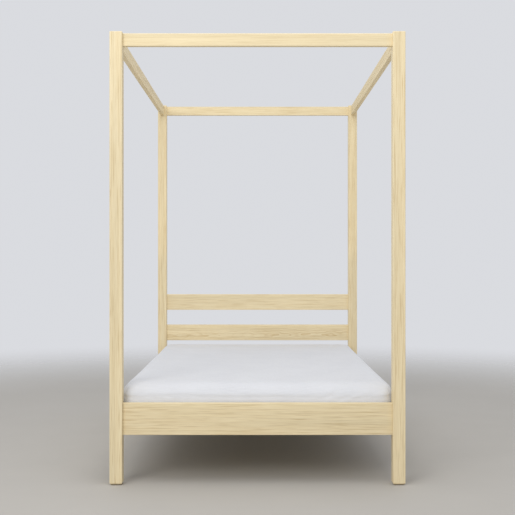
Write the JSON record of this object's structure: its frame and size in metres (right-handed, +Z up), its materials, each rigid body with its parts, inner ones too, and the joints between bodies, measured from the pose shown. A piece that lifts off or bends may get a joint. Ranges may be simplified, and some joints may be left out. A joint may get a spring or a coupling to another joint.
{
  "type": "four poster canopy bed",
  "caption": "Pine four poster bed: square posts joined by an open canopy frame, low rails and a two-plank headboard, with a slatted base and a sheeted mattress.",
  "frame": {"origin": "on the floor, in the middle of the bed", "axes": "+Z up, +Y from the foot end to the headboard, +X to the right of someone who stands at the foot end and faces the headboard"},
  "size_m": [1.29, 2.09, 1.978],
  "materials": {
    "pine": "pale natural pine, clear matt lacquer",
    "pine_unfinished": "planed bare pine",
    "beech": "fluted beech, bare",
    "zinc_steel": "bright zinc plate",
    "cap_plastic": "pine-coloured polypropylene",
    "felt": "brown needle felt",
    "webbing": "woven white polyester tape",
    "mattress_ticking": "white knitted ticking",
    "sheet_cotton": "pale grey-white cotton jersey"
  },
  "bodies": {
    "bed_frame": {"canopy_bolts": "zinc_steel", "canopy_caps": "cap_plastic", "canopy_dowels": "beech", "canopy_front_rail": "pine", "canopy_left_rail": "pine", "canopy_nuts": "zinc_steel", "canopy_rear_rail": "pine", "canopy_right_rail": "pine", "canopy_washers": "zinc_steel", "footboard_rail": "pine", "frame_bolts": "zinc_steel", "frame_dowels": "beech", "frame_nuts": "zinc_steel", "frame_washers": "zinc_steel", "front_left_felt_pad": "felt", "front_left_post": "pine", "front_right_felt_pad": "felt", "front_right_post": "pine", "head_end_rail": "pine", "headboard_bolts": "zinc_steel", "headboard_dowels": "beech", "headboard_lower_plank": "pine", "headboard_nuts": "zinc_steel", "headboard_top_plank": "pine", "headboard_washers": "zinc_steel", "ledger_screws": "zinc_steel", "left_side_rail": "pine", "left_slat_ledger": "pine_unfinished", "left_slat_strap": "webbing", "rear_left_felt_pad": "felt", "rear_left_post": "pine", "rear_right_felt_pad": "felt", "rear_right_post": "pine", "right_side_rail": "pine", "right_slat_ledger": "pine_unfinished", "right_slat_strap": "webbing", "slat_01": "pine_unfinished", "slat_02": "pine_unfinished", "slat_03": "pine_unfinished", "slat_04": "pine_unfinished", "slat_05": "pine_unfinished", "slat_06": "pine_unfinished", "slat_07": "pine_unfinished", "slat_08": "pine_unfinished", "slat_09": "pine_unfinished", "slat_10": "pine_unfinished", "slat_11": "pine_unfinished", "slat_12": "pine_unfinished", "slat_13": "pine_unfinished", "slat_14": "pine_unfinished", "slat_screws": "zinc_steel", "strap_staples": "zinc_steel"},
    "bedding": {"mattress": "mattress_ticking", "fitted_sheet": "sheet_cotton"}
  },
  "joints": [
    {"name": "mattress_lift", "type": "slide", "parent": "bed_frame", "child": "bedding", "axis": [0, 0, 1], "range_m": [0, 0.5]}
  ]
}
